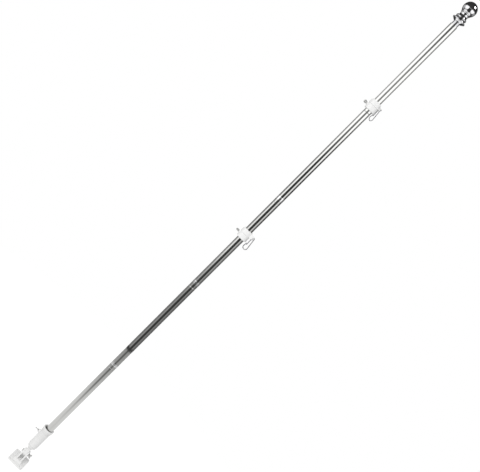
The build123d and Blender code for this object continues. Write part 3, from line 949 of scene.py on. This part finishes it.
SOFTBOXES: tuple[Softbox, ...] = (
    Softbox("softbox_left", (
        (0.0, -26.0, -78.0, 0.37), (0.2, -26.0, -78.0, 0.39), (0.39, -28.0, -78.0, 0.39),
        (0.61, -28.0, -78.0, 0.64), (0.74, -30.0, -79.0, 1.15), (1.0, -32.0, -79.0, 1.25),
        (1.23, -32.0, -79.0, 1.40), (1.41, -29.0, -82.0, 1.52), (1.61, -24.0, -86.0, 1.65),
        (1.85, -23.0, -90.0, 1.7), (2.1, -23.0, -90.0, 1.7), (2.3, -25.0, -90.0, 1.7),
        (2.42, -25.0, -90.0, 0.5), (2.55, -25.0, -90.0, 0.02),
    )),
    Softbox("card_left", (
        (0.0, -76.0, -132.0, 0.26), (0.39, -76.0, -132.0, 0.26), (0.61, -76.0, -132.0, 0.34),
        (0.74, -77.0, -132.0, 0.42), (1.0, -77.0, -132.0, 0.36), (1.23, -77.0, -132.0, 0.32),
        (1.41, -80.0, -132.0, 0.42), (1.61, -84.0, -132.0, 0.58), (1.85, -88.0, -132.0, 0.75),
        (2.15, -88.0, -132.0, 0.70), (2.35, -88.0, -132.0, 0.4),
    )),
    Softbox("softbox_right", (
        (0.0, 30.0, 80.0, 0.27), (0.2, 30.0, 78.0, 0.28), (0.39, 32.0, 76.0, 0.31),
        (0.61, 33.0, 76.0, 0.47), (0.74, 33.0, 76.0, 0.56), (1.0, 32.0, 75.0, 0.95),
        (1.23, 30.0, 74.0, 1.18), (1.41, 28.0, 76.0, 1.42), (1.61, 24.0, 81.0, 1.65),
        (1.85, 21.0, 88.0, 1.7), (2.1, 22.0, 88.0, 1.7), (2.3, 26.0, 88.0, 1.7),
        (2.42, 26.0, 88.0, 0.5), (2.55, 26.0, 88.0, 0.02),
    )),
    Softbox("card_right", (
        (0.0, 78.0, 132.0, 0.20), (0.39, 74.0, 132.0, 0.17), (0.61, 74.0, 132.0, 0.22),
        (0.74, 74.0, 132.0, 0.21), (1.0, 73.0, 132.0, 0.14), (1.23, 72.0, 132.0, 0.11),
        (1.41, 74.0, 132.0, 0.12), (1.61, 79.0, 132.0, 0.24), (1.85, 86.0, 132.0, 0.52),
        (2.15, 86.0, 132.0, 0.54), (2.35, 86.0, 132.0, 0.4),
    )),
)


@dataclass(frozen=True)
class Studio:
    """White floor and surroundings, the panels that metal mirrors, one lamp and the camera.

    Lengths are in metres and angles in degrees. A span gives the two ends of a change.
    """

    floor_radius: float = 1.45
    floor_points: int = 97
    floor_drop: float = 0.0005
    floor_glow: float = 0.90
    floor_colour: float = 0.80
    floor_seen: float = 1.1
    floor_front_edge: Span = (0.25, 0.6)
    floor_foot: Span = (0.4, 0.8)
    floor_white: Span = (0.9, WHITE_BELOW)
    front_edge: Span = (-0.35, -0.05)
    backdrop_edge: Span = (0.90, 0.97)
    lamp_power: float = 1.62
    lamp_angle: float = 45.0
    lamp_from: Triple = (-0.6, -2.0, 2.4)
    ambient: float = 0.63
    spot_size: float = 0.46
    spot_level: float = 8.0
    spot_place: Triple = (0.56, -0.26, 3.05)
    spot_aim: Triple = (0.0, 0.0, 1.9)
    lens: float = 55.5
    camera_reach: float = 2.294
    camera_height: float = 1.414
    aim_height: float = 1.067
    aim_beside_pole: float = 0.0071
    roll: float = 45.0

    def build(self) -> None:
        """Sets the whole studio up."""
        self.floor()
        self.world()
        for softbox in SOFTBOXES:
            panel = softbox.build()
            LOG.info("%s: %d triangles", panel.name, triangles(panel))
        self.lamp()
        self.spot()
        self.camera()
        LOG.info("studio: floor, world, panels, lamp, spot and camera")

    def floor(self) -> None:
        """Makes the floor, a sheet that looks white and keeps a little of the object's shadow.

        It has two parameters, angle a and radius r, and its points are (r cos a, r sin a, -drop).
        """
        turn = np.radians(np.linspace(0.0, 360.0, self.floor_points))
        angle, radius = np.meshgrid(turn, np.array((0.0, self.floor_radius)))
        drop = np.full_like(angle, -self.floor_drop)
        places = np.stack((radius * np.cos(angle), radius * np.sin(angle), drop), axis=-1)
        floor = grid_object("studio_floor", places)
        made, graph = blank_material("studio_floor")
        made.cycles.emission_sampling = "NONE"
        paper = graph.add("ShaderNodeBsdfDiffuse")
        graph.feed(paper.inputs["Color"], (self.floor_colour,) * 3)
        glow = graph.add("ShaderNodeEmission")
        # Metal mirrors the floor's painted pool of light; the camera sees the floor evenly white.
        mirrored = self.painted_floor_glow(graph)
        direct = graph.maths("MULTIPLY", graph.ray(Ray.CAMERA), self.floor_seen)
        graph.feed(glow.inputs["Strength"], graph.maths("MAXIMUM", mirrored, direct))
        share = graph.maths("MULTIPLY", background_rays(graph), self.floor_glow)
        mixed = graph.add("ShaderNodeMixShader")
        for socket, value in zip(mixed.inputs, (share, paper.outputs[0], glow.outputs[0])):
            graph.feed(socket, value)
        graph.show(mixed)
        floor.data.materials.append(made)

    def painted_floor_glow(self, graph: Graph) -> Socket:
        """Gives the glow that metal mirrors on the floor, a painted pool of light: bright at the
        foot and darker outwards.

        It is darkest in front, and white again on long rays that fall steeply, a painted reflection
        of a white floor.

        Args:
            graph: the floor material's tree.

        Returns:
            The level's socket.
        """
        place = graph.place()
        radius = graph.length(place)
        across = graph.maths("ABSOLUTE", graph.parts(place)[0])
        side = graph.remap(graph.maths("DIVIDE", across, radius), self.floor_front_edge)
        # Painted pool of light: the floor glows by its distance from the axis, not by light that
        # falls on it.
        front = graph.profile(radius, PAINTED_POOL_FRONT)
        step = graph.maths("SUBTRACT", graph.profile(radius, PAINTED_POOL_SIDES), front)
        level = graph.maths("ADD", front, graph.maths("MULTIPLY", side, step))
        foot = graph.remap(radius, self.floor_foot, FADES)
        near = near_rays(graph)
        seen = graph.maths("MULTIPLY", level, graph.maths("MAXIMUM", foot, near))
        # Painted reflection of a white floor on long steep rays.
        far = graph.maths("SUBTRACT", 1.0, near)
        falling = graph.maths("MULTIPLY", far, steep_rays(graph, STEEP_AHEAD))
        white = graph.remap(side, SHARE, self.floor_white)
        return graph.maths("MAXIMUM", seen, graph.maths("MULTIPLY", falling, white))

    def world(self) -> None:
        """Makes the surroundings: white for the camera and even for matt surfaces.

        Metal mirrors a dim room with a paler band low in front, a white backdrop behind and white
        far below.
        """
        world = bpy.data.worlds.new("studio")
        world.cycles.sampling_method = "NONE"
        world.use_nodes = True
        world.node_tree.nodes.clear()
        graph = Graph(world.node_tree)
        direction = graph.add("ShaderNodeTexCoord").outputs["Generated"]
        _, depth, rise = graph.parts(direction)
        front = graph.remap(depth, self.front_edge, FADES)
        band = graph.maths("MULTIPLY", graph.profile(rise, FRONT_LEVELS), front)
        room = graph.maths("MAXIMUM", band, ROOM_LEVEL)
        backdrop = graph.remap(depth, self.backdrop_edge)
        fall = graph.maths("MULTIPLY", rise, -1.0)
        below = graph.remap(fall, STEEP_AHEAD, (0.0, WHITE_BELOW))
        level = graph.maths("MAXIMUM", room, graph.maths("MAXIMUM", backdrop, below))
        mirrored = graph.maths("MULTIPLY", level, graph.ray(Ray.MIRRORED))
        even = graph.maths("MULTIPLY", graph.ray(Ray.DIFFUSE), self.ambient)
        unseen = graph.maths("MAXIMUM", mirrored, even)
        sky = graph.add("ShaderNodeBackground")
        graph.feed(sky.inputs["Color"], WHITE)
        graph.feed(sky.inputs["Strength"], graph.maths("MAXIMUM", unseen, graph.ray(Ray.CAMERA)))
        graph.show(sky, "ShaderNodeOutputWorld")
        bpy.context.scene.world = world

    def lamp(self) -> None:
        """Adds one broad distant lamp for the pale pieces, unseen by the camera and by metal.

        It comes from the front and a little from the left, about 49 degrees above the floor, so
        that upright and flat faces get nearly the same light.
        """
        data = bpy.data.lights.new("key_lamp", "SUN")
        data.energy = self.lamp_power
        data.angle = math.radians(self.lamp_angle)
        made = linked("key_lamp", data)
        made.matrix_world = Vector(self.lamp_from).to_track_quat("Z", "Y").to_matrix().to_4x4()
        made.visible_camera = False
        made.visible_glossy = False

    def spot(self) -> None:
        """Adds a small square glowing sheet over the finial, which its ball mirrors as a spot.

        It has two parameters, u and v, each from -1/2 to 1/2 of the sheet's size, and is turned so
        that it faces its aim.
        """
        side = np.linspace(-0.5, 0.5, 3)
        u, v = np.meshgrid(side, side)
        flat = np.stack((u, v, np.zeros_like(u)), axis=-1) * self.spot_size
        place, aim = Vector(self.spot_place), Vector(self.spot_aim)
        turn = np.array((aim - place).to_track_quat("-Z", "Y").to_matrix())
        sheet = grid_object("finial_spot", flat @ turn.T + np.array(place))
        hide_from_pale(sheet, np.full(u.size, self.spot_level))

    def camera(self) -> None:
        """Places the camera before the upper half, rolled so that the pole rises to the right."""
        low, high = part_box("pole_section_3")
        beside = (low.x + high.x) / 2 - self.aim_beside_pole
        place = Vector((beside, -self.camera_reach, self.camera_height))
        aim = Vector((beside, 0.0, self.aim_height)) - place
        level = aim.to_track_quat("-Z", "Y").to_matrix().to_4x4()
        rolled = level @ Matrix.Rotation(math.radians(self.roll), 4, "Z")
        data = bpy.data.cameras.new("camera")
        data.lens = self.lens
        made = linked("camera", data)
        made.matrix_world = Matrix.Translation(place) @ rolled
        bpy.context.scene.camera = made


def main() -> None:
    """Builds the flagpole's looks and its studio."""
    logging.basicConfig(level=logging.INFO, format="%(name)s: %(message)s")
    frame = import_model()
    WallBracket(frame).build()
    SocketCup(frame).build()
    Pole(frame).build()
    for side in Side:
        FlagRing(frame, side).build()
    Finial(frame).build()
    Studio().build()
    bpy.context.scene.view_settings.view_transform = "Standard"
    bpy.context.view_layer.update()


if __name__ == "__main__":
    main()
